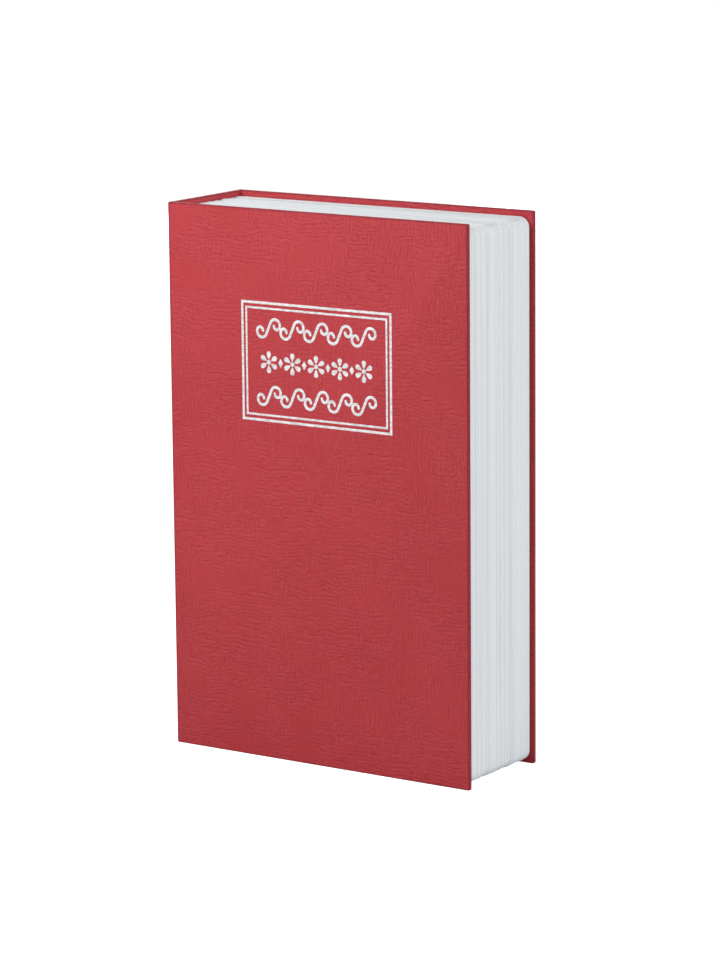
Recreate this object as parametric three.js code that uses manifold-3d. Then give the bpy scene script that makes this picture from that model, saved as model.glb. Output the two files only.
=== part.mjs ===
// A book safe: a hardcover book whose page block is a moulded frame round a lockable steel tray.
//
// Millimetres, +Z up. The book stands closed on its tail edge, with its spine at -X, its fore edge
// at +X, its front cover at -Y and its back cover at +Y. The origin is the middle of its footprint.
//
// The front cover turns on the cloth joint at the spine. Behind it a steel door turns on a piano
// hinge, and a cam lock in the door turns its cam behind the tray's folded rim.

import * as THREE from "three";
import { mergeVertices } from "three/addons/utils/BufferGeometryUtils.js";
import Module from "manifold-3d";

const wasm = await Module();
wasm.setup();

// The whole book, over its covers
const bookHeight = 240;
const bookWidth = 153;
const bookThickness = 54;

// Covers: grey board, wrapped in cloth that is turned in, with a paper liner inside
const boardThickness = 1.5;
const clothThickness = 0.3;
const linerThickness = 0.2;
const glueLine = 0.05;
const turnInWidth = 14;
const linerInset = 5;
const coverCornerRadius = 0.7;
const jointRadius = 1;
const jointSlit = 0.3;
const spineEdgeGap = 0.4;

// Page block: the covers stand past it on three sides
const headSquare = 2.8;
const tailSquare = 1.8;
const foreSquare = 1.8;
const blockCornerRadius = 4.2;
const coverClearance = 0.45;
const blockWall = 2.4;
const blockFrontFlange = 2;
const blockBackFlange = 2.5;
const blockBorder = 15;
const collarWall = 1.6;
const collarDepth = 5;
const backFlangeReach = 30;
const webThickness = 1.5;
const webClearance = 1.3;
const longWebCount = 4;
const shortWebCount = 2;

// Leaves: the ribs that stand for the edges of the pages, gathered in signatures
const signatureCount = 9;
const leavesPerSignature = 4;
const leafGroove = 0.25;
const signatureGroove = 0.6;
const signatureStep = 0.35;
const signatureStepShares = [0, 0.8, 0.2, 1, 0.4, 0, 0.9, 0.3, 0.6];
const grooveWidthShare = 0.28;

// Steel tray: a folded box with its rim turned inwards
const traySheet = 1;
const trayRim = 7;
const trayBend = 2;
const trayClearance = 0.4;

// Steel door: a plate with stiffening returns inside the tray's mouth
const doorSheet = 1;
const doorRecess = 3;
const doorSeatGap = 0.5;
const doorEdgeGap = 0.9;
const doorCornerRadius = 2;
const doorReturnDepth = 3;
const doorReturnClearance = 0.6;

// Piano hinge between tray and door
const pinRadius = 1;
const pinClearance = 0.08;
const leafSheet = 0.8;
const leafWidth = 12;
const hingeEndGap = 1.3;
const knuckleCount = 11;
const knuckleGap = 0.4;
const barrelClearance = 0.4;

// Rivets and screws
const rivetCount = 4;
const rivetRadius = 1.2;
const rivetHeadRadius = 2.3;
const rivetHeadHeight = 0.8;
const rivetHoleClearance = 0.1;
const rivetInset = 3;
const screwRadius = 1.5;
const screwHeadRadius = 3;
const screwHeadHeight = 1.8;
const screwInset = 9;
const screwBite = 2;
const screwHoleClearance = 0.2;
const driveWidth = 0.8;

// Cam lock
const lockInset = 15;
const lockFlangeRadius = 10;
const lockFlangeHeight = 1.6;
const lockBarrelRadius = 8;
const lockFlats = 14;
const lockBodyLength = 10;
const lockHoleClearance = 0.2;
const lockWasherRadius = 10.4;
const lockWasherSheet = 0.8;
const lockNutFlats = 19.6;
const lockNutHeight = 3.4;
const plugHeadRadius = 6;
const plugHeadHeight = 1.2;
const plugRadius = 4.9;
const plugClearance = 0.1;
const keywayWidth = 1.6;
const keywayHeight = 7.4;
const keywayDepth = 6.5;
const tailFlats = 6;
const camSheet = 1.5;
const camWidth = 9;
const camBehindRim = 5;
const camRimGap = 0.4;
const camNutClearance = 1;
const camScrewRadius = 2;
const camScrewHeadRadius = 3.6;
const camScrewHeadHeight = 2.4;
const camScrewBite = 5;
const camWasherRadius = 5;
const camWasherSheet = 0.8;

const overrun = 5; // how far a cutter runs past what it cuts
const weldDistance = 0.0001; // corners nearer than this are one corner

// How many straight steps stand for round forms
const cornerSteps = 6;
const roundSteps = 32;
const smallRoundSteps = 16;
const rivetSteps = 12;
const camTipSteps = 64;
const bevelSteps = 3;

// Planes that several pieces share
const skin = clothThickness + glueLine;
const panelThickness = boardThickness + 2 * skin;
const edgeRadius = 2 * clothThickness;
const spineX = -bookWidth / 2;
const foreX = bookWidth / 2;
const frontY = -bookThickness / 2;
const backY = bookThickness / 2;
const coverStartX = spineX + jointRadius + jointSlit;
const linerStack = glueLine + linerThickness;
const spineEndY = backY - panelThickness - spineEdgeGap;

const blockX = [spineX + panelThickness + glueLine, foreX - foreSquare];
const blockY = [
  frontY + panelThickness + linerStack + coverClearance,
  backY - panelThickness - linerStack - glueLine,
];
const blockZ = [tailSquare, bookHeight - headSquare];

const windowX = [blockX[0] + blockBorder, blockX[1] - blockBorder];
const windowZ = [blockZ[0] + blockBorder, blockZ[1] - blockBorder];

const doorFrontY = blockY[0] + doorRecess;
const doorBackY = doorFrontY + doorSheet;
const trayX = [windowX[0] + trayClearance, windowX[1] - trayClearance];
const trayY = [doorBackY + doorSeatGap, blockY[1] - blockBackFlange - glueLine];
const trayZ = [windowZ[0] + trayClearance, windowZ[1] - trayClearance];
const mouthX = [trayX[0] + traySheet, trayX[1] - trayRim];
const mouthZ = [trayZ[0] + trayRim, trayZ[1] - trayRim];

const knuckleBore = pinRadius + pinClearance;
const knuckleRadius = knuckleBore + leafSheet;
const hingeX = mouthX[0] + glueLine + knuckleRadius;
const hingeY = doorBackY + glueLine + leafSheet - knuckleRadius;
const middleZ = (blockZ[0] + blockZ[1]) / 2;
const hingeZ = [mouthZ[0] + hingeEndGap, mouthZ[1] - hingeEndGap];
const hingeLength = hingeZ[1] - hingeZ[0];

const doorX = [hingeX + knuckleRadius + barrelClearance, windowX[1] - doorEdgeGap];
const doorZ = [windowZ[0] + doorEdgeGap, windowZ[1] - doorEdgeGap];

const lockX = mouthX[1] - lockInset;
const lockFaceY = doorFrontY - glueLine - lockFlangeHeight;
const lockEndY = doorFrontY - glueLine + lockBodyLength;
const lockNutRadius = lockNutFlats / 2 / Math.cos(Math.PI / 6);

const material = (color, roughness, metalness = 0) =>
  new THREE.MeshStandardMaterial({ color, roughness, metalness });
const redCloth = material("#a8323c", 0.6);
const greyBoard = material("#8d8676", 0.9);
const endpaper = material("#e4dfd3", 0.85);
const pagePlastic = material("#dfe4e6", 0.55);
const blackSteel = material("#1d1e20", 0.45, 0.3);
const zincSteel = material("#b9bcc0", 0.35, 0.9);
const lockChrome = material("#c9ccd0", 0.18, 1);

// Solids

function solidOf(geometry) {
  geometry.deleteAttribute("normal");
  geometry.deleteAttribute("uv");
  const merged = mergeVertices(geometry, weldDistance);
  return new wasm.Manifold(
    new wasm.Mesh({
      numProp: 3,
      vertProperties: new Float32Array(merged.attributes.position.array),
      triVerts: new Uint32Array(merged.index.array),
    }),
  );
}

const book = new THREE.Group();

function place(name, solid, finish) {
  const made = solid.getMesh();
  const geometry = new THREE.BufferGeometry();
  geometry.setAttribute("position", new THREE.BufferAttribute(made.vertProperties, 3));
  geometry.setIndex(new THREE.BufferAttribute(made.triVerts, 1));
  geometry.computeVertexNormals();
  const mesh = new THREE.Mesh(geometry, finish);
  mesh.name = name;
  book.add(mesh);
}

function block([x0, x1], [y0, y1], [z0, z1]) {
  const geometry = new THREE.BoxGeometry(x1 - x0, y1 - y0, z1 - z0);
  geometry.translate((x0 + x1) / 2, (y0 + y1) / 2, (z0 + z1) / 2);
  return solidOf(geometry);
}

// A shape drawn across X and Z, given its thickness along Y.
function plate(shape, [y0, y1], bevel = 0) {
  const geometry = new THREE.ExtrudeGeometry(shape, {
    depth: y1 - y0 - 2 * bevel,
    curveSegments: cornerSteps,
    bevelEnabled: bevel > 0,
    bevelSize: bevel,
    bevelThickness: bevel,
    bevelOffset: -bevel,
    bevelSegments: bevelSteps,
  });
  geometry.rotateX(Math.PI / 2);
  geometry.translate(0, y1 - bevel, 0);
  return solidOf(geometry);
}

// A shape drawn across X and Y, given its length along Z.
function column(shape, [z0, z1]) {
  const geometry = new THREE.ExtrudeGeometry(shape, {
    depth: z1 - z0,
    curveSegments: cornerSteps,
    bevelEnabled: false,
  });
  geometry.translate(0, 0, z0);
  return solidOf(geometry);
}

function rodAlongY(radius, [y0, y1], x, z, steps = roundSteps) {
  const geometry = new THREE.CylinderGeometry(radius, radius, y1 - y0, steps);
  geometry.translate(x, (y0 + y1) / 2, z);
  return solidOf(geometry);
}

function rodAlongX(radius, [x0, x1], y, z, steps = roundSteps) {
  const geometry = new THREE.CylinderGeometry(radius, radius, x1 - x0, steps);
  geometry.rotateZ(Math.PI / 2);
  geometry.translate((x0 + x1) / 2, y, z);
  return solidOf(geometry);
}

// A profile of radius and depth, turned round an axis along +Y at the origin.
function revolve(profile, steps = roundSteps) {
  const points = profile.map(([radius, depth]) => new THREE.Vector2(radius, depth));
  return solidOf(new THREE.LatheGeometry(points, steps));
}

// A rectangle with its own radius at each corner, from low-left round by the right.
function roundedRectangle([x0, x1], [z0, z1], [lowLeft, lowRight, highRight, highLeft]) {
  const shape = new THREE.Shape();
  const corner = (x, z, radius, start) => {
    if (radius > 0) shape.absarc(x, z, radius, start, start + Math.PI / 2);
    else shape.lineTo(x, z);
  };
  shape.moveTo(x0 + lowLeft, z0);
  corner(x1 - lowRight, z0 + lowRight, lowRight, -Math.PI / 2);
  corner(x1 - highRight, z1 - highRight, highRight, 0);
  corner(x0 + highLeft, z1 - highLeft, highLeft, Math.PI / 2);
  corner(x0 + lowLeft, z0 + lowLeft, lowLeft, Math.PI);
  return shape;
}

const even = (radius) => [radius, radius, radius, radius];
const inset = ([low, high], by) => [low + by, high - by];

// Covers

const foreCorners = (radius) => [0, radius, radius, 0];

// The covering of one cover: a shell round its board, open at the spine and inside the turn-ins.
// facing is +1 where the block lies at +Y of the cover, and -1 where it lies at -Y.
function coverCloth([y0, y1], facing) {
  const middleY = (y0 + y1) / 2;
  const startX = coverStartX - overrun;
  const outline = roundedRectangle([startX, foreX], [0, bookHeight], foreCorners(coverCornerRadius));
  const pocket = roundedRectangle(
    [startX - overrun, foreX - clothThickness],
    inset([0, bookHeight], clothThickness),
    foreCorners(coverCornerRadius - clothThickness),
  );
  const window = block(
    [startX - overrun, foreX - turnInWidth],
    facing > 0 ? [middleY, y1 + overrun] : [y0 - overrun, middleY],
    inset([0, bookHeight], turnInWidth),
  );
  const spineSide = block(
    [startX - overrun, coverStartX],
    inset([y0, y1], -overrun),
    inset([0, bookHeight], -overrun),
  );
  return plate(outline, [y0, y1], edgeRadius)
    .subtract(plate(pocket, inset([y0, y1], clothThickness)))
    .subtract(window)
    .subtract(spineSide);
}

// The covering of the spine goes round both corners of the book, and joins that of the back cover.
function spineCloth() {
  const bendX = spineX + jointRadius;
  const bendY = backY - jointRadius;
  const innerRadius = jointRadius - clothThickness;
  const innerX = spineX + panelThickness;
  const lapX = coverStartX + jointSlit;
  const outline = new THREE.Shape();
  outline.moveTo(lapX, backY);
  outline.absarc(bendX, bendY, jointRadius, Math.PI / 2, Math.PI);
  outline.absarc(bendX, -bendY, jointRadius, Math.PI, 1.5 * Math.PI);
  outline.absarc(bendX, -bendY, innerRadius, 1.5 * Math.PI, Math.PI, true);
  outline.lineTo(spineX + clothThickness, -spineEndY);
  outline.lineTo(innerX, -spineEndY);
  outline.lineTo(innerX, spineEndY);
  outline.lineTo(spineX + clothThickness, spineEndY);
  outline.absarc(bendX, bendY, innerRadius, Math.PI, Math.PI / 2, true);
  outline.lineTo(lapX, backY - clothThickness);
  const pocket = block(
    [spineX + clothThickness, innerX - clothThickness],
    [-spineEndY, spineEndY],
    inset([0, bookHeight], clothThickness),
  );
  const window = block(
    [spineX + panelThickness / 2, innerX + overrun],
    inset([-spineEndY, spineEndY], -jointSlit),
    inset([0, bookHeight], turnInWidth),
  );
  return column(outline, [0, bookHeight]).subtract(pocket).subtract(window);
}

function board(name, [y0, y1]) {
  const outline = roundedRectangle(
    [coverStartX, foreX - skin],
    inset([0, bookHeight], skin),
    foreCorners(coverCornerRadius - skin),
  );
  place(name, plate(outline, inset([y0, y1], skin)), greyBoard);
}

function liner(name, spanY) {
  const outline = roundedRectangle(
    [coverStartX + linerInset, foreX - linerInset],
    inset([0, bookHeight], linerInset),
    even(0),
  );
  place(name, plate(outline, spanY), endpaper);
}

function frontCover() {
  const spanY = [frontY, frontY + panelThickness];
  place("front_cover_cloth", coverCloth(spanY, 1), redCloth);
  board("front_cover_board", spanY);
  liner("front_cover_liner", [spanY[1] + glueLine, spanY[1] + linerStack]);
}

function spineAndBackCover() {
  const spanY = [backY - panelThickness, backY];
  place("case_cloth", coverCloth(spanY, -1).add(spineCloth()), redCloth);
  board("back_cover_board", spanY);
  liner("back_cover_liner", [spanY[0] - linerStack, spanY[0] - glueLine]);
  const spineBoard = block(
    [spineX + skin, spineX + skin + boardThickness],
    inset([-spineEndY, spineEndY], glueLine),
    inset([0, bookHeight], skin),
  );
  place("spine_board", spineBoard, greyBoard);
}

// Page block

// The block's outline at one height through its thickness, set in on its three ribbed sides.
function blockRing(y, depth) {
  const radius = blockCornerRadius - depth;
  const z0 = blockZ[0] + depth;
  const z1 = blockZ[1] - depth;
  const x1 = blockX[1] - depth;
  const ring = [new THREE.Vector3(blockX[0], y, z0)];
  const corner = (z, start) => {
    for (let step = 0; step <= cornerSteps; step++) {
      const angle = start + ((Math.PI / 2) * step) / cornerSteps;
      const x = x1 - radius + radius * Math.cos(angle);
      ring.push(new THREE.Vector3(x, y, z + radius * Math.sin(angle)));
    }
  };
  corner(z0 + radius, -Math.PI / 2);
  corner(z1 - radius, 0);
  ring.push(new THREE.Vector3(blockX[0], y, z1));
  return ring;
}

// Each leaf has a flat edge between two grooves, and the grooves between signatures are deeper.
function leafProfile() {
  const leafCount = signatureCount * leavesPerSignature;
  const pitch = (blockY[1] - blockY[0]) / leafCount;
  const halfGroove = (pitch * grooveWidthShare) / 2;
  const profile = [];
  for (let leaf = 0; leaf < leafCount; leaf++) {
    const signature = Math.floor(leaf / leavesPerSignature);
    const step = signatureStep * signatureStepShares[signature % signatureStepShares.length];
    const start = blockY[0] + leaf * pitch;
    const opensSignature = leaf % leavesPerSignature === 0;
    if (leaf > 0) profile.push([start, step + (opensSignature ? signatureGroove : leafGroove)]);
    profile.push([leaf > 0 ? start + halfGroove : start, step]);
    profile.push([leaf < leafCount - 1 ? start + pitch - halfGroove : blockY[1], step]);
  }
  return profile;
}

function loft(rings) {
  const size = rings[0].length;
  const last = (rings.length - 1) * size;
  const index = [];
  for (let ring = 0; ring < rings.length - 1; ring++) {
    for (let point = 0; point < size; point++) {
      const next = (point + 1) % size;
      const [a, b] = [ring * size + point, ring * size + next];
      index.push(a, b + size, b, a, a + size, b + size);
    }
  }
  for (let point = 1; point < size - 1; point++) {
    index.push(0, point, point + 1);
    index.push(last, last + point + 1, last + point);
  }
  const geometry = new THREE.BufferGeometry().setFromPoints(rings.flat());
  geometry.setIndex(index);
  return solidOf(geometry);
}

// Webs stiffen the hollow edges, between the ribbed wall and the tray.
function blockWebs(spanY) {
  const webs = [];
  for (let web = 1; web <= longWebCount; web++) {
    const z = blockZ[0] + ((blockZ[1] - blockZ[0]) * web) / (longWebCount + 1);
    webs.push(block(inset(blockX, blockWall / 2), spanY, inset([z, z], -webThickness / 2)));
  }
  for (let web = 1; web <= shortWebCount; web++) {
    const x = blockX[0] + ((blockX[1] - blockX[0]) * web) / (shortWebCount + 1);
    webs.push(block(inset([x, x], -webThickness / 2), spanY, inset(blockZ, blockWall / 2)));
  }
  const tray = block(inset(trayX, -webClearance), inset(spanY, -overrun), inset(trayZ, -webClearance));
  return wasm.Manifold.union(webs).subtract(tray);
}

function pageBlock() {
  const ribbed = loft(leafProfile().map(([y, depth]) => blockRing(y, depth)));
  const insideY = [blockY[0] + blockFrontFlange, blockY[1] - blockBackFlange];
  const hollow = block(inset(blockX, blockWall), insideY, inset(blockZ, blockWall));
  const intoFlanges = [insideY[0] - blockFrontFlange / 2, insideY[1] + blockBackFlange / 2];
  const through = inset(blockY, -overrun);

  // A collar behind the front flange holds the tray's mouth.
  const collarOutline = roundedRectangle(
    inset(windowX, -collarWall),
    inset(windowZ, -collarWall),
    even(trayBend + collarWall),
  );
  const collar = plate(collarOutline, [intoFlanges[0], insideY[0] + collarDepth]);
  const window = plate(roundedRectangle(windowX, windowZ, even(trayBend)), [through[0], insideY[1]]);
  const backWindow = plate(
    roundedRectangle(inset(blockX, backFlangeReach), inset(blockZ, backFlangeReach), even(trayBend)),
    [insideY[1] - overrun, through[1]],
  );
  const screwHoles = screwPlaces().map(([x, z]) =>
    rodAlongY(screwRadius, [insideY[1] - overrun, through[1]], x, z, smallRoundSteps),
  );
  const solid = ribbed
    .subtract(hollow)
    .add(blockWebs(intoFlanges))
    .add(collar)
    .subtract(window)
    .subtract(backWindow)
    .subtract(wasm.Manifold.union(screwHoles));
  place("page_block", solid, pagePlastic);
}

// Steel tray

function screwPlaces() {
  const places = [];
  for (const x of inset(trayX, screwInset)) {
    for (const z of inset(trayZ, screwInset)) places.push([x, z]);
  }
  return places;
}

function rivetHeights() {
  const heights = [];
  for (let rivet = 0; rivet < rivetCount; rivet++) {
    heights.push(hingeZ[0] + (hingeLength * (rivet + 0.5)) / rivetCount);
  }
  return heights;
}

const rivetHole = rivetRadius + rivetHoleClearance;
const trayRivetY = hingeY + leafWidth - rivetInset;
const doorRivetX = hingeX + leafWidth - rivetInset;

function tray() {
  const outside = plate(roundedRectangle(trayX, trayZ, even(trayBend)), trayY, trayBend / 2);
  const inside = plate(
    roundedRectangle(inset(trayX, traySheet), inset(trayZ, traySheet), even(trayBend - traySheet)),
    inset(trayY, traySheet),
  );
  const mouth = block(mouthX, inset([trayY[0], trayY[0] + traySheet], -overrun), mouthZ);
  const screwHole = screwRadius + screwHoleClearance;
  const screwHoles = screwPlaces().map(([x, z]) =>
    rodAlongY(screwHole, inset([trayY[1], trayY[1]], -overrun), x, z, smallRoundSteps),
  );
  const rivetHoles = rivetHeights().map((z) =>
    rodAlongX(rivetHole, [trayX[0] - overrun, trayX[0] + overrun], trayRivetY, z, rivetSteps),
  );
  const solid = outside
    .subtract(inside)
    .subtract(mouth)
    .subtract(wasm.Manifold.union([...screwHoles, ...rivetHoles]));
  place("steel_tray", solid, blackSteel);
}

// Piano hinge

const knuckleLength = (hingeLength - (knuckleCount - 1) * knuckleGap) / knuckleCount;

// Where each knuckle starts and ends. Even ones belong to the tray's leaf, odd ones to the door's.
function knuckleSpans(odd) {
  const spans = [];
  for (let knuckle = odd; knuckle < knuckleCount; knuckle += 2) {
    const start = hingeZ[0] + knuckle * (knuckleLength + knuckleGap);
    spans.push([start, start + knuckleLength]);
  }
  return spans;
}

// A rolled knuckle with its tangent strip, drawn round the pin with the strip along +X behind it.
function knuckleShape() {
  const shape = new THREE.Shape();
  const reach = knuckleRadius + barrelClearance + leafSheet;
  shape.moveTo(0, knuckleRadius);
  shape.absarc(0, 0, knuckleRadius, Math.PI / 2, 2 * Math.PI);
  const inner = Math.asin(knuckleBore / knuckleRadius);
  shape.absarc(0, 0, knuckleRadius, 0, inner);
  shape.lineTo(reach, knuckleBore);
  shape.lineTo(reach, knuckleRadius);
  const bore = new THREE.Path();
  bore.absarc(0, 0, knuckleBore, 0, 2 * Math.PI, true);
  shape.holes.push(bore);
  return shape;
}

// A leaf with its pin at the origin, reaching along +X. The tray's leaf is turned to reach along +Y.
function hingeLeaf(odd) {
  const leafX = [knuckleRadius + barrelClearance, leafWidth];
  let solid = block(leafX, [knuckleBore, knuckleRadius], hingeZ);
  for (const span of knuckleSpans(odd)) solid = solid.add(column(knuckleShape(), span));
  const holes = rivetHeights().map((z) =>
    rodAlongY(rivetHole, [-overrun, overrun], leafWidth - rivetInset, z, rivetSteps),
  );
  return solid.subtract(wasm.Manifold.union(holes));
}

function hinge() {
  const doorLeaf = hingeLeaf(1).translate([hingeX, hingeY, 0]);
  place("door_hinge_leaf", doorLeaf, zincSteel);
  const trayLeaf = hingeLeaf(0).rotate([0, 0, 90]).translate([hingeX, hingeY, 0]);
  place("tray_hinge_leaf", trayLeaf, zincSteel);
  const pin = new THREE.CylinderGeometry(pinRadius, pinRadius, hingeLength, smallRoundSteps);
  pin.rotateX(Math.PI / 2);
  pin.translate(hingeX, hingeY, middleZ);
  place("hinge_pin", solidOf(pin), zincSteel);
}

// A rivet along +Y from its factory head, round the origin, with a set head past the grip.
function rivet(grip) {
  const dome = rivetHeadHeight / 3;
  return revolve(
    [
      [0, -rivetHeadHeight],
      [rivetHeadRadius / 2, -rivetHeadHeight],
      [rivetHeadRadius - dome, -2 * dome],
      [rivetHeadRadius, -glueLine],
      [rivetRadius, -glueLine],
      [rivetRadius, grip + glueLine],
      [rivetHeadRadius - dome, grip + glueLine],
      [rivetHeadRadius - dome, grip + 2 * dome],
      [0, grip + 2 * dome],
    ],
    rivetSteps,
  );
}

function rivets() {
  const trayGrip = traySheet + glueLine + leafSheet;
  const doorGrip = doorSheet + glueLine + leafSheet;
  rivetHeights().forEach((z, number) => {
    const doorRivet = rivet(doorGrip).translate([doorRivetX, doorFrontY, z]);
    place(`door_rivet_${number + 1}`, doorRivet, zincSteel);
    const trayRivet = rivet(trayGrip).rotate([0, 0, -90]).translate([trayX[0], trayRivetY, z]);
    place(`tray_rivet_${number + 1}`, trayRivet, zincSteel);
  });
}

function trayScrews() {
  const floorY = trayY[1] - traySheet;
  screwPlaces().forEach(([x, z], number) => {
    const headY = [floorY - glueLine - screwHeadHeight, floorY - glueLine];
    const head = rodAlongY(screwHeadRadius, headY, x, z, smallRoundSteps);
    const shankY = [headY[1] - glueLine, trayY[1] + glueLine + screwBite];
    const shank = rodAlongY(screwRadius - glueLine, shankY, x, z, smallRoundSteps);
    const slotY = [headY[0] - overrun, headY[0] + screwHeadHeight / 2];
    const across = [-screwHeadRadius / 2, screwHeadRadius / 2];
    const narrow = [-driveWidth / 2, driveWidth / 2];
    const cross = block(across, slotY, narrow).add(block(narrow, slotY, across)).translate([x, 0, z]);
    place(`tray_screw_${number + 1}`, head.add(shank).subtract(cross), zincSteel);
  });
}

// Door

// The lock's barrel has two flats, which keep it from turning in the door.
function flattened(radius, flats, spanY) {
  const between = block(
    [lockX - flats / 2, lockX + flats / 2],
    inset(spanY, -overrun),
    [middleZ - radius - overrun, middleZ + radius + overrun],
  );
  return rodAlongY(radius, spanY, lockX, middleZ).intersect(between);
}

const camReach = lockInset + camBehindRim;

function door() {
  const face = plate(roundedRectangle(doorX, doorZ, even(doorCornerRadius)), [doorFrontY, doorBackY]);
  const returnY = [doorBackY - doorSheet / 2, doorBackY + doorReturnDepth];
  const returnX = [hingeX + leafWidth + doorReturnClearance, mouthX[1] - doorReturnClearance];
  const returnZ = inset(mouthZ, doorReturnClearance);
  const band = block(returnX, returnY, returnZ).subtract(
    block(
      [returnX[0] - overrun, returnX[1] - doorSheet],
      [returnY[0] - overrun, returnY[1] + overrun],
      inset(returnZ, doorSheet),
    ),
  );
  const camNotch = block(
    [returnX[1] - overrun, returnX[1] + overrun],
    [doorBackY, returnY[1] + overrun],
    [middleZ - camWidth, middleZ + camReach],
  );
  const lockHole = flattened(
    lockBarrelRadius + lockHoleClearance,
    lockFlats + 2 * lockHoleClearance,
    [doorFrontY - overrun, doorBackY + overrun],
  );
  const rivetHoles = rivetHeights().map((z) =>
    rodAlongY(rivetHole, [doorFrontY - overrun, doorBackY + overrun], doorRivetX, z, rivetSteps),
  );
  const solid = face
    .add(band.subtract(camNotch))
    .subtract(lockHole)
    .subtract(wasm.Manifold.union(rivetHoles));
  place("door_panel", solid, blackSteel);
}

// Lock

function lockBody() {
  const rim = lockFlangeHeight / 3;
  const barrelLength = lockEndY - lockFaceY;
  const headBore = plugHeadRadius + plugClearance;
  const plugBore = plugRadius + plugClearance;
  const headDepth = plugHeadHeight + plugClearance;
  const revolved = revolve([
    [headBore, 0],
    [lockFlangeRadius - 2 * rim, 0],
    [lockFlangeRadius - rim, rim / 2],
    [lockFlangeRadius, 2 * rim],
    [lockFlangeRadius, lockFlangeHeight],
    [lockBarrelRadius, lockFlangeHeight],
    [lockBarrelRadius, barrelLength],
    [plugBore, barrelLength],
    [plugBore, headDepth],
    [headBore, headDepth],
    [headBore, 0],
  ]).translate([lockX, lockFaceY, middleZ]);
  const aroundFlange = rodAlongY(
    lockFlangeRadius + overrun,
    [lockFaceY - overrun, doorFrontY - glueLine],
    lockX,
    middleZ,
  );
  const aroundBarrel = flattened(
    lockBarrelRadius + overrun,
    lockFlats,
    [doorFrontY - 2 * glueLine, lockEndY + overrun],
  );
  place("lock_body", revolved.intersect(aroundFlange.add(aroundBarrel)), lockChrome);
}

function lockFixings() {
  const washerY = [doorBackY + glueLine, doorBackY + glueLine + lockWasherSheet];
  const holeRadius = lockBarrelRadius + lockHoleClearance;
  const washer = rodAlongY(lockWasherRadius, washerY, lockX, middleZ).subtract(
    rodAlongY(holeRadius, inset(washerY, -overrun), lockX, middleZ),
  );
  place("lock_washer", washer, zincSteel);
  const nutY = [washerY[1] + glueLine, washerY[1] + glueLine + lockNutHeight];
  const hexagon = rodAlongY(lockNutRadius, nutY, lockX, middleZ, 6);
  const nut = hexagon.subtract(rodAlongY(holeRadius, inset(nutY, -overrun), lockX, middleZ));
  place("lock_nut", nut, zincSteel);
}

const shoulderY = lockEndY + camRimGap;
const camY = [shoulderY + glueLine, shoulderY + glueLine + camSheet];
const camWasherY = [camY[1] + glueLine, camY[1] + glueLine + camWasherSheet];
const squareTail = ([y0, y1], flats) =>
  block([lockX - flats / 2, lockX + flats / 2], [y0, y1], [middleZ - flats / 2, middleZ + flats / 2]);

function lockPlug() {
  const faceY = lockFaceY + plugClearance;
  const head = rodAlongY(plugHeadRadius, [faceY, lockFaceY + plugHeadHeight], lockX, middleZ);
  const shaft = rodAlongY(plugRadius, [faceY, shoulderY], lockX, middleZ);
  const tail = squareTail([shoulderY - glueLine, camY[1] - glueLine], tailFlats);
  const keyway = block(
    [lockX - keywayWidth / 2, lockX + keywayWidth / 2],
    [faceY - overrun, faceY + keywayDepth],
    [middleZ - keywayHeight / 2, middleZ + keywayHeight / 2],
  );
  const screwHole = rodAlongY(
    camScrewRadius,
    [camWasherY[1] - camScrewBite - glueLine, camWasherY[1] + overrun],
    lockX,
    middleZ,
    smallRoundSteps,
  );
  place("lock_plug", head.add(shaft).add(tail).subtract(keyway).subtract(screwHole), lockChrome);
}

// The cam is cranked forward round the nut, so that its tip turns behind the tray's rim. At rest it
// points up, clear of the rim.
function lockCam() {
  const tipStartY = trayY[0] + traySheet + camRimGap;
  const tipY = [tipStartY, tipStartY + camSheet];
  const crank = lockNutRadius + camNutClearance;
  const bent = new THREE.Shape();
  bent.moveTo(-camWidth / 2, camY[1]);
  bent.lineTo(-camWidth / 2, camY[0]);
  bent.lineTo(crank, camY[0]);
  bent.lineTo(crank, tipY[0]);
  bent.lineTo(camReach, tipY[0]);
  bent.lineTo(camReach, tipY[1]);
  bent.lineTo(crank + camSheet, tipY[1]);
  bent.lineTo(crank + camSheet, camY[1]);
  // Drawn across the cam's reach and Y, then stood up along Z.
  const flat = column(bent, [-camWidth / 2, camWidth / 2]);
  const stood = flat.rotate([0, -90, 0]).translate([lockX, 0, middleZ]);
  const roundTip = rodAlongY(camReach, [tipY[0] - overrun, camY[1] + overrun], lockX, middleZ, camTipSteps);
  const hole = squareTail(inset(camY, -overrun), tailFlats + 2 * plugClearance);
  place("lock_cam", stood.intersect(roundTip).subtract(hole), zincSteel);
}

function camFixings() {
  const hole = camScrewRadius + plugClearance;
  const washer = rodAlongY(camWasherRadius, camWasherY, lockX, middleZ, smallRoundSteps).subtract(
    rodAlongY(hole, inset(camWasherY, -overrun), lockX, middleZ, smallRoundSteps),
  );
  place("cam_washer", washer, zincSteel);
  const headY = [camWasherY[1] + glueLine, camWasherY[1] + glueLine + camScrewHeadHeight];
  const head = rodAlongY(camScrewHeadRadius, headY, lockX, middleZ, smallRoundSteps);
  const shank = rodAlongY(
    camScrewRadius - glueLine,
    [camWasherY[1] - camScrewBite, headY[0] + glueLine],
    lockX,
    middleZ,
    smallRoundSteps,
  );
  const slot = block(
    [lockX - driveWidth / 2, lockX + driveWidth / 2],
    [headY[1] - camScrewHeadHeight / 2, headY[1] + overrun],
    [middleZ - camScrewHeadRadius - overrun, middleZ + camScrewHeadRadius + overrun],
  );
  place("cam_screw", head.add(shank).subtract(slot), zincSteel);
}

frontCover();
spineAndBackCover();
pageBlock();
tray();
hinge();
rivets();
trayScrews();
door();
lockBody();
lockFixings();
lockPlug();
lockCam();
camFixings();

export default book;
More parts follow.
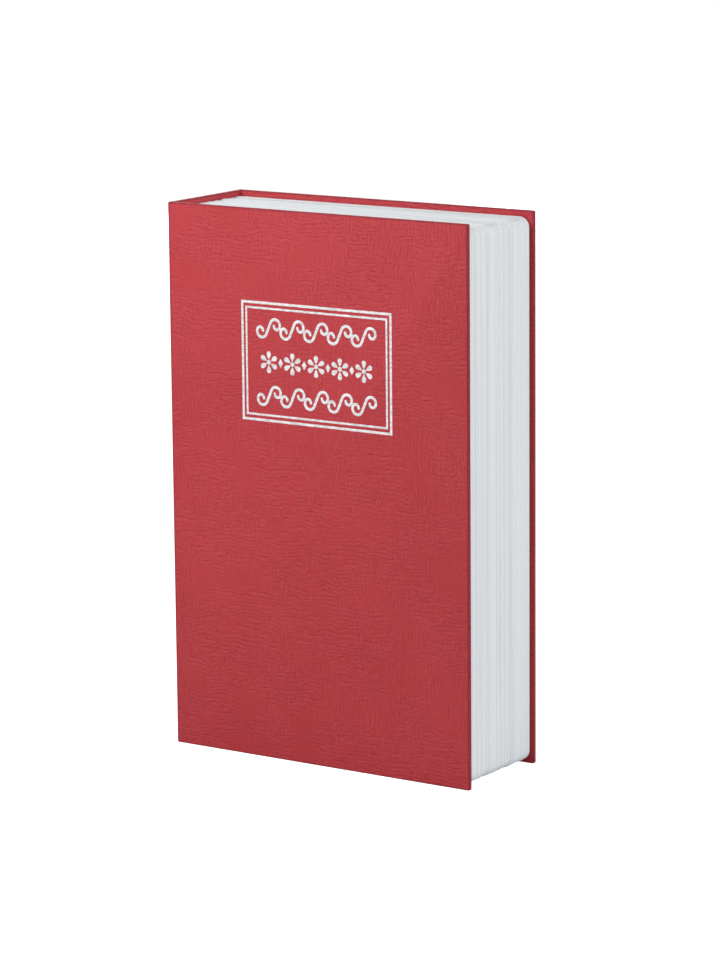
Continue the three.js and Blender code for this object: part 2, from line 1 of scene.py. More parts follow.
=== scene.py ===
# The looks of a book safe: a red hardcover book whose page block is a moulded frame round a
# steel tray.
#
# Metres, in the frame's own axes: +Z up, the spine at -X, the front cover at -Y. What the frame
# fixes is read from it, and everything else is a named size below.
import math
import random

import bmesh
import bpy
from mathutils import Matrix, Vector


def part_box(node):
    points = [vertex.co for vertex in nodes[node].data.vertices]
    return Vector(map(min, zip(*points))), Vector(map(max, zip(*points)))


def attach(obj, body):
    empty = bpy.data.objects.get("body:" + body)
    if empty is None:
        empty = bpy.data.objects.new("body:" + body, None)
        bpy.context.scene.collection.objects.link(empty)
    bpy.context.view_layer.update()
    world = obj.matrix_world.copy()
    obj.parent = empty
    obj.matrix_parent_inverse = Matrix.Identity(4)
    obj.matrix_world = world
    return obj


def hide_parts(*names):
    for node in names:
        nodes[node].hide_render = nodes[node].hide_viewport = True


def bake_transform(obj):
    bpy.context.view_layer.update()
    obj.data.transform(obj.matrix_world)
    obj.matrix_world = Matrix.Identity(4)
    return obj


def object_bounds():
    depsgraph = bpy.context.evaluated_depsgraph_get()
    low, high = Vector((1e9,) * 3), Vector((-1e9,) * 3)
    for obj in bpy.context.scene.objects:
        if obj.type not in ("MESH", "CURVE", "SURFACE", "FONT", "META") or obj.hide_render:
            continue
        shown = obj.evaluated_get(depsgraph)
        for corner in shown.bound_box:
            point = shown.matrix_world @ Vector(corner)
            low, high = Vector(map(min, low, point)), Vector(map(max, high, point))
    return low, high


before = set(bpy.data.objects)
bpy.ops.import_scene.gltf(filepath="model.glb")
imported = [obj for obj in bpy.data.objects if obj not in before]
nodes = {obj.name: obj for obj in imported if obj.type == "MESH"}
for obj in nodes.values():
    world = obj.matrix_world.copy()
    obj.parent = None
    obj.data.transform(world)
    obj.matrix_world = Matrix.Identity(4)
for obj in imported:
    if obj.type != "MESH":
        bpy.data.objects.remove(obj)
cad_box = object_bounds()

MM = 0.001
NEAR = 0.01 * MM  # two places closer than this are the same place
ALONG = 0.999  # an edge runs along an axis if this share of it does
STRAIGHT = 0.99  # a face looks along an axis if its normal has this share of it,
ASIDE = 0.01  # across the axis if it has less than this,
SLANTED = 0.5  # and half way if it has more than this

# Covers
joint_cloth = 0.5 * MM
joint_radius = 1 * MM
joint_steps = 10
rim_radius = 0.45 * MM
rim_steps = 4
fore_corner = 0.7 * MM
corner_steps = 6
turn_in = 14 * MM
fold_width = 0.3 * MM
fold_depth = 0.15 * MM
fold_cuts = 5
fold_end = 1.5 * MM
fold_shade = 1.6 * MM
crease_fill = 0.6 * MM
crease_depth = 0.8 * MM
paper_slope = 1.5 * MM
paper_sink = 0.13 * MM

# Foil title panel on the front cover, measured from the middle of the cover and from the tail
panel_middle_x = 0.5 * MM
panel_middle_z = 174.5 * MM
outer_frame = (77 * MM, 51.8 * MM)
outer_line = 1.1 * MM
inner_frame = (72.7 * MM, 47 * MM)
inner_line = 0.9 * MM
foil_height = 0.05 * MM
row_width = 61 * MM
row_pitch = 14.6 * MM
rosettes = 5
rosette_radius = 4.7 * MM
rosette_petals = 6
heart_share = 0.22
petal_start_share = 0.28
petal_width_share = 0.56
petal_narrowing = (0.7, 0.55, 0.4, 0.25, 0.1)
petal_taper = 0.84
lozenge_radius = 1.2 * MM
lozenge_stretch = 1.6
scrolls = 5
scroll_radii = (2.5 * MM, 1.5 * MM)
scroll_lean = math.radians(24)
scroll_steps = 12
stem_rise = 2.8 * MM
stroke = 1.25 * MM
stroke_taper = 0.4

# Page block
signatures = 9
leaves_in_signature = 8
steps_in_leaf = 5
leaf_groove = 0.15 * MM
leaf_groove_shares = (0.4, 0.7, 1, 1.6)
signature_groove = 0.4 * MM
signature_step = 0.34 * MM
signature_step_shares = (0, 0.8, 0.2, 1, 0.4, 0, 0.9, 0.3, 0.6)
leaf_play = 0.07 * MM
leaf_seed = 7
back_depth = 2.2 * MM
block_corner = 4.2 * MM
block_corner_steps = 12
window_gap = 0.4 * MM
window_corner = 2 * MM
window_edge = 0.5 * MM

# Steel and fixings
sheet_edge = 0.2 * MM
sheet_edge_steps = 2
leaf_sheet = 0.8 * MM
knuckles = 11
knuckle_gap = 0.4 * MM
knuckle_roll = math.radians(303)
knuckle_steps = 26
knuckle_reach = 0.4 * MM
rivet_shank = 1.2 * MM
rivet_head = 0.75 * MM
rivet_rim = 0.18 * MM
dome_steps = 5
set_head = 0.53 * MM
set_head_share = 0.88
screw_head = 1.8 * MM
screw_dome = 0.6
screw_shank = 1.45 * MM
screw_slot_reach = 0.62
screw_slot = 0.8 * MM
screw_slot_depth = 0.9 * MM
round_steps = 64
small_steps = 32
edge_steps = 3
fine_edge = 0.12 * MM
row_of_four = range(1, 5)

# Angles in degrees: folds that shade as one surface, edges that are eased, folds that are none
soft_fold = 30
soft_leaf_fold = 20
soft_sheet_fold = 35
eased_fold = 50
flat_fold = 1

# Lock
barrel_radius = 8 * MM
barrel_flats = 14 * MM
flange_height = 1.6 * MM
flange_edge = 0.5 * MM
thread_pitch = 1 * MM
thread_depth = 0.4 * MM
plug_gap = 0.1 * MM
plug_shaft = 4.9 * MM
plug_head = 1.2 * MM
plug_tail = 6 * MM
keyway = (1.6 * MM, 6.5 * MM, 7.4 * MM)
keyway_side = (2.6 * MM, 6.5 * MM, 2.2 * MM)
cam_sheet = 1.5 * MM
plug_edge = 0.3 * MM
nut_chamfer = 1.1 * MM
cam_screw_shank = 1.95 * MM
cam_screw_head = 2.4 * MM

# Embossing of the covering: how rows of furrows sway and ripple, and how much each part shows, with
# its painted shade or highlight
sway_scale = 3 * (75,)
sway_reach = 3.2
ripple_scale = 3 * (330,)
ripple_reach = 0.95
row_half = 0.5
lip_peak = 0.3
dash_edge = 0.08
upright_furrow_share = 0.85
upright_lip_highlight_share = 0.9
# Painted shade in the furrows and a painted highlight on the lip of each furrow
furrow_shade_share = 0.29
lip_highlight_share = 0.43
# Painted shade at the rims, weaker at the back cover's fore edge, and along the spine's folds
rim_shade_share = 0.8
back_rim_shade_share = 0.85
fold_shade_share = 0.9

# Finishes: the part of a noise that counts, and how deep each relief is
soft_range = (0.3, 0.7)
covering_relief = 0.165 * MM
foil_relief = 0.03 * MM
paper_relief = 0.02 * MM
leaf_relief = 0.09 * MM
coat_relief = 0.05 * MM
zinc_relief = 0.002 * MM

# Colours: pairs are the two ends of a cloudy tone
covering_tones = ((0.435, 0.039, 0.047, 1), (0.465, 0.044, 0.053, 1))
covering_fleck = (0.35, 0.024, 0.034, 1)
# Painted shade in the furrows and a painted highlight on the lip of each furrow
covering_furrow_shade = (0.24, 0.017, 0.025, 1)
covering_lip_highlight = (0.57, 0.076, 0.088, 1)
# Painted shade at the rims and along the spine's folds
covering_rim_shade = (0.22, 0.013, 0.026, 1)
foil_tones = ((0.62, 0.62, 0.63, 1), (0.88, 0.87, 0.88, 1))
foil_pit = (0.4, 0.12, 0.13, 1)
paper_tones = ((0.76, 0.73, 0.66, 1), (0.79, 0.76, 0.69, 1))
paper_fibre = (0.6, 0.55, 0.46, 1)
leaf_tones = ((0.735, 0.765, 0.79, 1), (0.775, 0.805, 0.825, 1))
leaf_rib = (0.62, 0.66, 0.69, 1)
leaf_mark = (0.6, 0.56, 0.45, 1)
# Painted shade in the grooves between the steps at the page block's head
leaf_line_shade = (0.52, 0.55, 0.58, 1)
coat_tones = ((0.011, 0.011, 0.012, 1), (0.015, 0.015, 0.016, 1))
coat_dust = (0.04, 0.04, 0.041, 1)
zinc_tones = ((0.42, 0.43, 0.44, 1), (0.51, 0.52, 0.54, 1))
chrome_tones = ((0.48, 0.485, 0.49, 1), (0.56, 0.565, 0.57, 1))
white = (1, 1, 1, 1)

# Setting: how bright floor and surroundings are straight to the eye, in reflections and as light
floor_side = 8
floor_grey = (0.8, 0.8, 0.8, 1)
floor_glow = (0.85, 0.25, 0.0)
surrounding_glow = (1.0, 1.0, 0.2)

# Lamps: place, side of the square, watts
key_lamp = ((-0.15, -0.5, 0.54), 0.45, 3.8)
side_lamp = ((1.4, 0.42, 0.7), 1.0, 14.5)
fill_lamp = ((-1.2, 1.3, 0.6), 1.2, 9)

# Camera, fitted to the book's corners and edges in the photograph
camera_azimuth = math.radians(34.033)
camera_elevation = math.radians(11.005)
camera_roll = math.radians(-0.515)
camera_distance = 1686.6 * MM
camera_aside = 3.47 * MM
camera_raise = 1.224 * MM
camera_lens = 146.61
camera_sensor = 36


# Hand work: choosing parts of a mesh and shaping them


def focus(piece):
    if bpy.context.object and bpy.context.object.mode == "EDIT":
        close()
    bpy.ops.object.select_all(action="DESELECT")
    piece.select_set(True)
    bpy.context.view_layer.objects.active = piece


def pick(piece, kind, test=lambda part: True):
    """Opens the piece for editing, with the faces, edges or corners chosen that pass the test."""
    focus(piece)
    bpy.ops.object.mode_set(mode="EDIT")
    bpy.ops.mesh.select_mode(type=kind)
    bpy.ops.mesh.select_all(action="DESELECT")
    shape = bmesh.from_edit_mesh(piece.data)
    shape.normal_update()
    for part in {"FACE": shape.faces, "EDGE": shape.edges, "VERT": shape.verts}[kind]:
        if test(part):
            part.select_set(True)
    shape.select_flush_mode()
    bmesh.update_edit_mesh(piece.data)


def close():
    bpy.ops.object.mode_set(mode="OBJECT")


def near(a, b):
    return abs(a - b) < NEAR


def middle(edge):
    return (edge.verts[0].co + edge.verts[1].co) / 2


def along(edge, axis):
    """True if the edge runs along X, Y or Z, given as 0, 1 or 2."""
    run = edge.verts[1].co - edge.verts[0].co
    return abs(run[axis]) > ALONG * run.length


def new_piece(name, add_primitive, **settings):
    """A primitive under its name, the only piece that is chosen."""
    add_primitive(**settings)
    piece = bpy.context.object
    piece.name = piece.data.name = name
    return piece


def new_object(name, data):
    thing = bpy.data.objects.new(name, data)
    bpy.context.scene.collection.objects.link(thing)
    return thing


def settle(piece):
    """Puts the piece's place and turn into its mesh."""
    focus(piece)
    bpy.ops.object.transform_apply(location=True, rotation=True, scale=True)
    return piece


def box(name, low, high):
    size = [b - a for a, b in zip(low, high)]
    centre = [(a + b) / 2 for a, b in zip(low, high)]
    add_cube = bpy.ops.mesh.primitive_cube_add
    return settle(new_piece(name, add_cube, size=1, location=centre, scale=size))


def bar(name, centre, width, height, low_y, high_y):
    """A box on an axis along Y, which passes through the centre."""
    x, z = width / 2, height / 2
    low = (centre.x - x, low_y, centre.z - z)
    return box(name, low, (centre.x + x, high_y, centre.z + z))


def rod(name, radius, depth, place, axis="Y", steps=round_steps):
    """A cylinder that starts at a place and runs for its depth along an axis."""
    turn = {"X": (0, math.pi / 2, 0), "Y": (-math.pi / 2, 0, 0), "Z": (0, 0, 0)}[axis]
    size = {"vertices": steps, "radius": radius, "depth": depth}
    piece = new_piece(name, bpy.ops.mesh.primitive_cylinder_add, rotation=turn, **size)
    piece.location = Vector(place) + depth / 2 * Vector([axis == letter for letter in "XYZ"])
    return settle(piece)


def turned(name, profile, place, axis="Y", steps=round_steps):
    """A piece spun from a profile of (radius, distance along the axis), which starts at a place."""
    piece = new_piece(name, bpy.ops.mesh.primitive_plane_add, size=NEAR)
    pick(piece, "VERT")
    bpy.ops.mesh.merge(type="CENTER")
    move(profile[0][0], 0, profile[0][1])
    for (radius, height), (next_radius, next_height) in zip(profile, profile[1:]):
        step = (next_radius - radius, 0, next_height - height)
        bpy.ops.mesh.extrude_vertices_move(TRANSFORM_OT_translate={"value": step})
    pick(piece, "EDGE")
    bpy.ops.mesh.spin(steps=steps, angle=2 * math.pi, center=(0, 0, 0), axis=(0, 0, 1))
    close()
    weld(piece)
    turn = {"X": ("Y", math.pi / 2), "Y": ("X", -math.pi / 2), "Z": ("Z", 0)}[axis]
    piece.data.transform(Matrix.Translation(place) @ Matrix.Rotation(turn[1], 4, turn[0]))
    return piece


def rounded(radius, height, edge, steps, to_axis=True):
    """The profile of a disc's top with a rounded rim, from the rim up to the face or the axis."""
    points = []
    for step in range(steps + 1):
        angle = math.pi / 2 * step / steps
        in_by, down_by = edge * (1 - math.cos(angle)), edge * (1 - math.sin(angle))
        points.append((radius - in_by, height - down_by))
    return points + [(0, height)] * to_axis


def dome(radius, height, steps):
    """The profile of a shallow dome, from its rim up to the axis."""
    ball = (radius ** 2 + height ** 2) / (2 * height)
    reach = math.asin(min(1, radius / ball))
    angles = [reach * (1 - step / steps) for step in range(steps + 1)]
    return [(ball * math.sin(angle), height - ball * (1 - math.cos(angle))) for angle in angles]


def move(*way):
    """Moves what is chosen."""
    bpy.ops.transform.translate(value=way)


def split(place, normal):
    """Cuts a line across the chosen faces where a plane crosses them."""
    bpy.ops.mesh.bisect(plane_co=place, plane_no=normal, threshold=NEAR / 10)


def bevel(width, steps):
    bpy.ops.mesh.bevel(offset=width, segments=steps, affect="EDGES", offset_type="OFFSET")


def modify(piece, kind, **settings):
    focus(piece)
    modifier = piece.modifiers.new(kind.title(), kind)
    for name, value in settings.items():
        setattr(modifier, name, value)
    bpy.ops.object.modifier_apply(modifier=modifier.name)


def combine(piece, other, operation="DIFFERENCE"):
    """Cuts another solid out of a piece, or unites or crosses them, and uses it up."""
    modify(piece, "BOOLEAN", operation=operation, object=other, solver="EXACT")
    bpy.data.objects.remove(other)


def join(first, *others):
    bpy.ops.object.select_all(action="DESELECT")
    for piece in (first, *others):
        piece.select_set(True)
    bpy.context.view_layer.objects.active = first
    bpy.ops.object.join()
    return first


def weld(piece, distance=NEAR):
    pick(piece, "VERT")
    bpy.ops.mesh.remove_doubles(threshold=distance)
    bpy.ops.mesh.normals_make_consistent(inside=False)
    close()


def smooth(piece, degrees=soft_fold):
    focus(piece)
    bpy.ops.object.shade_smooth_by_angle(angle=math.radians(degrees))


def carry(piece, *way):
    piece.data.transform(Matrix.Translation(way))


def turned_copy(piece, name, matrix):
    """A copy with its own mesh, moved by a matrix."""
    copy = new_object(name, piece.data.copy())
    copy.data.name = name
    copy.data.transform(matrix)
    return copy


def wear(piece, finish, body):
    piece.data.materials.clear()
    piece.data.materials.append(finish)
    if body:
        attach(piece, body)


# Where the covers lie

front_low, front_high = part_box("front_cover_cloth")
case_low, case_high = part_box("case_cloth")
cover_thickness = front_high.y - front_low.y
book_height = case_high.z - case_low.z
joint_x = case_low.x + joint_radius
joint_y = case_high.y - joint_radius


# Finishes: each is mixed from noises that lie in the object's own space


def wire(tree, socket, value):
    if isinstance(value, bpy.types.NodeSocket):
        tree.links.new(value, socket)
    else:
        socket.default_value = value


def add(tree, kind, inputs=(), **settings):
    node = tree.nodes.new("ShaderNode" + kind)
    for name, value in settings.items():
        setattr(node, name, value)
    for key, value in dict(inputs).items():
        wire(tree, node.inputs[key], value)
    return node


def empty_tree(holder):
    holder.use_nodes = True
    holder.node_tree.nodes.clear()
    return holder.node_tree


def new_finish(name, sockets):
    finish = bpy.data.materials.new(name)
    tree = empty_tree(finish)
    output = add(tree, "OutputMaterial")
    shader = add(tree, "BsdfPrincipled", sockets)
    tree.links.new(shader.outputs["BSDF"], output.inputs["Surface"])
    return finish, tree


def own_axes(tree):
    """The object's own X, Y and Z."""
    return add(tree, "SeparateXYZ", {"Vector": add(tree, "TexCoord").outputs["Object"]}).outputs


def noise(tree, scale, detail=2.0, roughness=0.5, turn=(0, 0, 0)):
    """A noise in the object's own space. Its scale is one number, or one for each axis."""
    stretch, scale = (scale, 1.0) if isinstance(scale, tuple) else ((1, 1, 1), scale)
    inputs = {"Vector": add(tree, "TexCoord").outputs["Object"], "Scale": stretch, "Rotation": turn}
    place = add(tree, "Mapping", inputs).outputs["Vector"]
    inputs = {"Vector": place, "Scale": scale, "Detail": detail, "Roughness": roughness}
    return add(tree, "TexNoise", inputs).outputs["Fac"]


def calc(tree, operation, *values):
    return add(tree, "Math", dict(enumerate(values)), operation=operation).outputs[0]


def times(tree, first, second):
    return calc(tree, "MULTIPLY", first, second)


def larger(tree, first, second):
    return calc(tree, "MAXIMUM", first, second)


def spread(tree, value, low, high, to_low=0.0, to_high=1.0):
    inputs = {"Value": value, "From Min": low, "From Max": high}
    inputs |= {"To Min": to_low, "To Max": to_high}
    return add(tree, "MapRange", inputs, interpolation_type="SMOOTHSTEP").outputs["Result"]


def mix_colours(tree, share, first, second):
    node = add(tree, "Mix", data_type="RGBA")
    for key, value in (("Factor_Float", share), ("A_Color", first), ("B_Color", second)):
        wire(tree, next(s for s in node.inputs if s.identifier == key), value)
    return next(s for s in node.outputs if s.identifier == "Result_Color")


def dress(finish, tone, rough=None, height=None, depth=None):
    """Wires a tone, a roughness and a relief of some depth to the finish's shader."""
    tree = finish.node_tree
    sockets = tree.nodes["Principled BSDF"].inputs
    wire(tree, sockets["Base Color"], tone)
    if rough is not None:
        wire(tree, sockets["Roughness"], rough)
    if height is not None:
        relief = add(tree, "Bump", {"Height": height, "Distance": depth, "Strength": 1.0})
        wire(tree, sockets["Normal"], relief.outputs["Normal"])
    return finish


def dashes(
    tree, upright, along_scale, pitch_scale, width, share, patch_scale, patch_low, patch_high
):
    """Short wavy furrows in level or upright rows, in patches, and a lip along each side: masks for
    the relief, for painted shade in the furrows and for a painted highlight on each lip.
    """
    axes = own_axes(tree)
    if upright:
        across = calc(tree, "ADD", axes["X"], axes["Y"])
        stretch = (pitch_scale, pitch_scale, along_scale)
    else:
        across = axes["Z"]
        stretch = (along_scale, along_scale, pitch_scale)
    sway = noise(tree, sway_scale, detail=1.0)
    ripple = noise(tree, ripple_scale, detail=1.0)
    wave = calc(tree, "ADD", times(tree, sway, sway_reach), times(tree, ripple, ripple_reach))
    row = calc(tree, "ADD", times(tree, across, pitch_scale), wave)
    level = calc(tree, "PINGPONG", row, row_half)
    line = spread(tree, level, 0.0, width, 1.0, 0.0)
    rise = spread(tree, level, width / 2, lip_peak)
    fall = spread(tree, level, lip_peak, row_half, 1.0, 0.0)
    dash = noise(tree, stretch, detail=1.0)
    patch = noise(tree, patch_scale)
    in_dash = spread(tree, dash, share, share + dash_edge)
    there = times(tree, in_dash, spread(tree, patch, patch_low, patch_high))
    return times(tree, line, there), times(tree, times(tree, rise, fall), there)


def rim_shade(tree):
    """Painted shade, up to 1 at the rims of head, tail and fore edge, and along the spine's two
    folds.
    """
    axes = own_axes(tree)
    start, full = 2 * rim_radius, rim_radius / 4
    head = spread(tree, axes["Z"], book_height - start, book_height - full)
    tail = spread(tree, axes["Z"], full, start, 1.0, 0.0)
    fore = spread(tree, axes["X"], case_high.x - start, case_high.x - full)
    fore = times(tree, fore, spread(tree, axes["Y"], -rim_radius, rim_radius, 1.0, back_rim_shade_share))
    start, full = fold_shade, fold_shade / 3
    spine = spread(tree, axes["X"], case_low.x + full, case_low.x + start, fold_shade_share, 0.0)
    from_middle = calc(tree, "ABSOLUTE", axes["Y"])
    sides = spread(tree, from_middle, case_high.y - start, case_high.y - full)
    rims = larger(tree, larger(tree, head, tail), fore)
    return larger(tree, rims, calc(tree, "MINIMUM", spine, sides))


def red_covering():
    finish, tree = new_finish("red_covering", {"Roughness": 0.5, "Specular IOR Level": 0.22})
    level, level_lip_highlight = dashes(
        tree, upright=False, along_scale=185, pitch_scale=530, width=0.28, share=0.45,
        patch_scale=(34, 34, 60), patch_low=0.38, patch_high=0.5,
    )
    upright, upright_lip_highlight = dashes(
        tree, upright=True, along_scale=200, pitch_scale=560, width=0.28, share=0.46,
        patch_scale=(64, 64, 36), patch_low=0.41, patch_high=0.52,
    )
    lines = larger(tree, level, times(tree, upright, upright_furrow_share))
    lip_highlights = larger(tree, level_lip_highlight, times(tree, upright_lip_highlight, upright_lip_highlight_share))
    grain = noise(tree, 1500.0, detail=2.5, roughness=0.6)
    cloud = noise(tree, 30.0, detail=3.0)
    fleck = noise(tree, 700.0, detail=3.0, roughness=0.6)
    tone = mix_colours(tree, spread(tree, cloud, *soft_range), *covering_tones)
    tone = mix_colours(tree, spread(tree, fleck, 0.35, 0.75, 0.0, 0.3), tone, covering_fleck)
    # Painted shade in the furrows and a painted highlight on the lip of each furrow, for how the
    # embossing catches the light
    tone = mix_colours(tree, times(tree, lines, furrow_shade_share), tone, covering_furrow_shade)
    tone = mix_colours(tree, times(tree, lip_highlights, lip_highlight_share), tone, covering_lip_highlight)
    # Painted shade at the rims and along the spine's two folds
    tone = mix_colours(tree, times(tree, rim_shade(tree), rim_shade_share), tone, covering_rim_shade)
    rough = spread(tree, fleck, *soft_range, 0.56, 0.68)
    height = calc(tree, "SUBTRACT", times(tree, grain, 0.6), lines)
    return dress(finish, tone, rough, height, covering_relief)


def silver_foil():
    finish, tree = new_finish("silver_foil", {"Metallic": 0.4, "Roughness": 0.4})
    pits = noise(tree, 1500.0, detail=3.0, roughness=0.65)
    streaks = noise(tree, (420, 420, 2400), roughness=0.6, turn=(0, 0.35, 0))
    tone = mix_colours(tree, spread(tree, streaks, 0.36, 0.64), *foil_tones)
    tone = mix_colours(tree, spread(tree, pits, 0.6, 0.72, 0.0, 0.6), tone, foil_pit)
    return dress(finish, tone, spread(tree, streaks, *soft_range, 0.32, 0.5), pits, foil_relief)


def endpaper():
    finish, tree = new_finish("endpaper", {"Roughness": 0.85, "Specular IOR Level": 0.25})
    fibres = noise(tree, (500, 500, 1600), detail=4.0, roughness=0.6)
    cloud = noise(tree, 45.0, detail=4.0)
    tone = mix_colours(tree, spread(tree, cloud, *soft_range), *paper_tones)
    tone = mix_colours(tree, spread(tree, fibres, 0.55, 0.8, 0.0, 0.3), tone, paper_fibre)
    return dress(finish, tone, height=fibres, depth=paper_relief)


def page_plastic():
    finish, tree = new_finish("page_plastic", {"Roughness": 0.55, "Specular IOR Level": 0.3})
    ribs = noise(tree, (6, 1250, 6), detail=3.0, roughness=0.65)
    bands = noise(tree, (3, 520, 3))
    marks = noise(tree, (60, 900, 60), detail=3.0, roughness=0.55)
    edges = noise(tree, (2, 640, 2))
    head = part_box("page_block")[1].z - 2 * signature_step
    at_head = spread(tree, own_axes(tree)["Z"], head - signature_step, head)
    # Painted shade: darker lines in the grooves between the steps at the head
    head_shade_lines = times(tree, at_head, spread(tree, edges, 0.47, 0.56, 0.0, 0.5))
    tone = mix_colours(tree, spread(tree, bands, 0.35, 0.65), *leaf_tones)
    tone = mix_colours(tree, spread(tree, ribs, 0.5, 0.66, 0.0, 0.5), tone, leaf_rib)
    tone = mix_colours(tree, spread(tree, marks, 0.7, 0.8, 0.0, 0.3), tone, leaf_mark)
    tone = mix_colours(tree, head_shade_lines, tone, leaf_line_shade)
    return dress(finish, tone, spread(tree, bands, *soft_range, 0.5, 0.62), ribs, leaf_relief)


def black_powder_coat():
    finish, tree = new_finish("black_powder_coat", {"Roughness": 0.5, "Specular IOR Level": 0.35})
    peel = noise(tree, 1300.0)
    dust = noise(tree, 420.0, detail=4.0, roughness=0.6)
    cloud = noise(tree, 50.0, detail=3.0)
    tone = mix_colours(tree, spread(tree, cloud, *soft_range), *coat_tones)
    tone = mix_colours(tree, spread(tree, dust, 0.58, 0.75, 0.0, 0.5), tone, coat_dust)
    return dress(finish, tone, spread(tree, peel, *soft_range, 0.42, 0.56), peel, coat_relief)


def zinc_plate():
    finish, tree = new_finish("zinc_plate", {"Metallic": 1.0, "Roughness": 0.34})
    rub = noise(tree, (1500, 1500, 160), detail=3.0, roughness=0.6)
    cloud = noise(tree, 240.0, detail=4.0)
    tone = mix_colours(tree, spread(tree, cloud, *soft_range), *zinc_tones)
    return dress(finish, tone, spread(tree, rub, *soft_range, 0.3, 0.4), rub, zinc_relief)


def lock_chrome():
    finish, tree = new_finish("lock_chrome", {"Metallic": 1.0, "Roughness": 0.16})
    haze = noise(tree, 500.0, detail=4.0, roughness=0.6)
    tone = mix_colours(tree, spread(tree, haze, *soft_range), *chrome_tones)
    return dress(finish, tone, spread(tree, haze, 0.35, 0.75, 0.12, 0.22))


finishes = {
    "red_covering": red_covering(),
    "silver_foil": silver_foil(),
    "endpaper": endpaper(),
    "page_plastic": page_plastic(),
    "black_steel": black_powder_coat(),
    "zinc_steel": zinc_plate(),
    "lock_chrome": lock_chrome(),
}


# Covers


def covered_board(name, length, mitred_ends):
    """A board in its covering: outer face at Y 0, first joint at X 0, tail at Z 0."""
    piece = box(name, (0, 0, 0), (length, cover_thickness, book_height))
    mitre = cover_thickness - joint_cloth
    for place, shift in ((0, mitre), (length, -mitre))[:mitred_ends]:
        pick(piece, "FACE", lambda face: near(face.calc_center_median().x, place))
        split((0, joint_cloth, 0), (0, 1, 0))
        pick(piece, "VERT", lambda v: near(v.co.x, place) and near(v.co.y, cover_thickness))
        move(shift, 0, 0)
    joint_places = (0, length)[:mitred_ends]
    if mitred_ends == 1:
        pick(piece, "EDGE", lambda edge: along(edge, 1) and near(middle(edge).x, length))
        bevel(fore_corner, corner_steps)
    pick(piece, "EDGE", lambda edge: is_rim(edge, joint_places))
    bevel(rim_radius, rim_steps)
    close()
    if mitred_ends == 1:
        for z, slope in ((0, 1), (book_height, -1)):
            corner_fold(piece, length, z, slope)
    smooth(piece)
    return piece


def is_rim(edge, joint_places):
    """True where a broad face of the board meets its head, its tail or its fore edge."""
    if len(edge.link_faces) != 2:
        return False
    low, high = sorted(abs(face.normal.y) for face in edge.link_faces)
    at_joint = any(near(middle(edge).x, x) for x in joint_places)
    return low < ASIDE and high > STRAIGHT and not at_joint


def corner_fold(piece, length, z, slope):
    """The line where two turn-ins meet, from the corner of the inner face inwards."""
    def inner(face):
        return face.normal.y > STRAIGHT and near(face.calc_center_median().y, cover_thickness)

    def corner(face):
        place = face.calc_center_median()
        return inner(face) and place.x > length - turn_in and abs(place.z - z) < turn_in

    pick(piece, "FACE", inner)
    split((length - turn_in, 0, 0), (1, 0, 0))
    pick(piece, "FACE", inner)
    split((0, 0, z + slope * turn_in), (0, 0, 1))
    pick(piece, "FACE", corner)
    split((length, 0, z), (1, 0, slope))
    close()

    def on_fold(place, start=-NEAR, end=turn_in + NEAR):
        inwards = length - place.x
        on_line = abs(inwards - slope * (place.z - z)) < NEAR
        return on_line and near(place.y, cover_thickness) and start < inwards < end

    pick(piece, "EDGE", lambda edge: all(on_fold(v.co) for v in edge.verts))
    bpy.ops.mesh.subdivide(number_cuts=fold_cuts)
    bevel(fold_width, 2)
    pick(piece, "VERT", lambda v: on_fold(v.co, fold_end, turn_in - fold_end))
    move(0, -fold_depth, 0)
    close()


def fill_crease(back):
    """Fills the gap at the spine's back corner, down to a crease at head and tail."""
    def mitre(face):
        near_joint = face.calc_center_median().x < joint_x + cover_thickness
        return face.normal.x < -SLANTED and face.normal.y < -SLANTED and near_joint

    pick(back, "FACE", mitre)
    way = Vector((-crease_fill, -crease_fill, 0)) / math.sqrt(2)
    bpy.ops.mesh.extrude_region_move(TRANSFORM_OT_translate={"value": way})
    bpy.ops.transform.resize(
        value=(1, 1, 1 - 2 * crease_depth / book_height),
        center_override=(joint_x, joint_y, book_height / 2),
    )
    close()


def bend(piece, face_x, face_y, centre_y):
    """Bends the covering on from the thin end face at a place, round the corner of the spine."""
    def end_face(face):
        place = face.calc_center_median()
        here = abs(place.x - face_x) < joint_cloth and abs(place.y - face_y) < joint_cloth
        return here and flat_end(face)

    pick(piece, "FACE", end_face)
    centre = (joint_x, centre_y, 0)
    bpy.ops.mesh.spin(steps=joint_steps, angle=math.pi / 2, center=centre, axis=(0, 0, 1))
    close()


def flat_end(face):
    """True for the thin upright face where a board's covering goes on to its neighbour."""
    return abs(face.normal.z) < ASIDE and face.calc_area() > joint_cloth * book_height / 2


def open_end(piece, test):
    def end_face(face):
        looks_along = abs(face.normal.y) > STRAIGHT
        return flat_end(face) and looks_along and test(face.calc_center_median())

    pick(piece, "FACE", end_face)
    bpy.ops.mesh.delete(type="FACE")
    close()


def covers():
    front_length = case_high.x - joint_x
    spine_length = 2 * joint_y
    front = covered_board("front_and_spine_covering", front_length, 1)
    back = turned_copy(front, "back_covering", Matrix.Scale(-1, 4, (0, 1, 0)))
    carry(front, joint_x, case_low.y, 0)
    carry(back, joint_x, case_high.y, 0)
    weld(back)
    fill_crease(back)
    smooth(back)

    # The spine's board stands across the other two, with the covering bent round both its ends.
    spine = covered_board("spine", spine_length, 2)
    spine.data.transform(Matrix.Rotation(-math.pi / 2, 4, "Z"))
    carry(spine, case_low.x, joint_y, 0)
    bend(front, joint_x, case_low.y + joint_cloth / 2, -joint_y)
    open_end(front, lambda place: near(place.y, -joint_y) and place.x < joint_x)
    open_end(spine, lambda place: near(place.y, -joint_y))
    bend(spine, case_low.x + joint_cloth / 2, joint_y, joint_y)
    join(front, spine)
    weld(front)
    smooth(front)
    wear(front, finishes["red_covering"], None)
    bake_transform(front)
    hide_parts("front_cover_cloth", "front_cover_board", "spine_board")
    wear(back, finishes["red_covering"], "case")
    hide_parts("case_cloth", "back_cover_board")


covers()


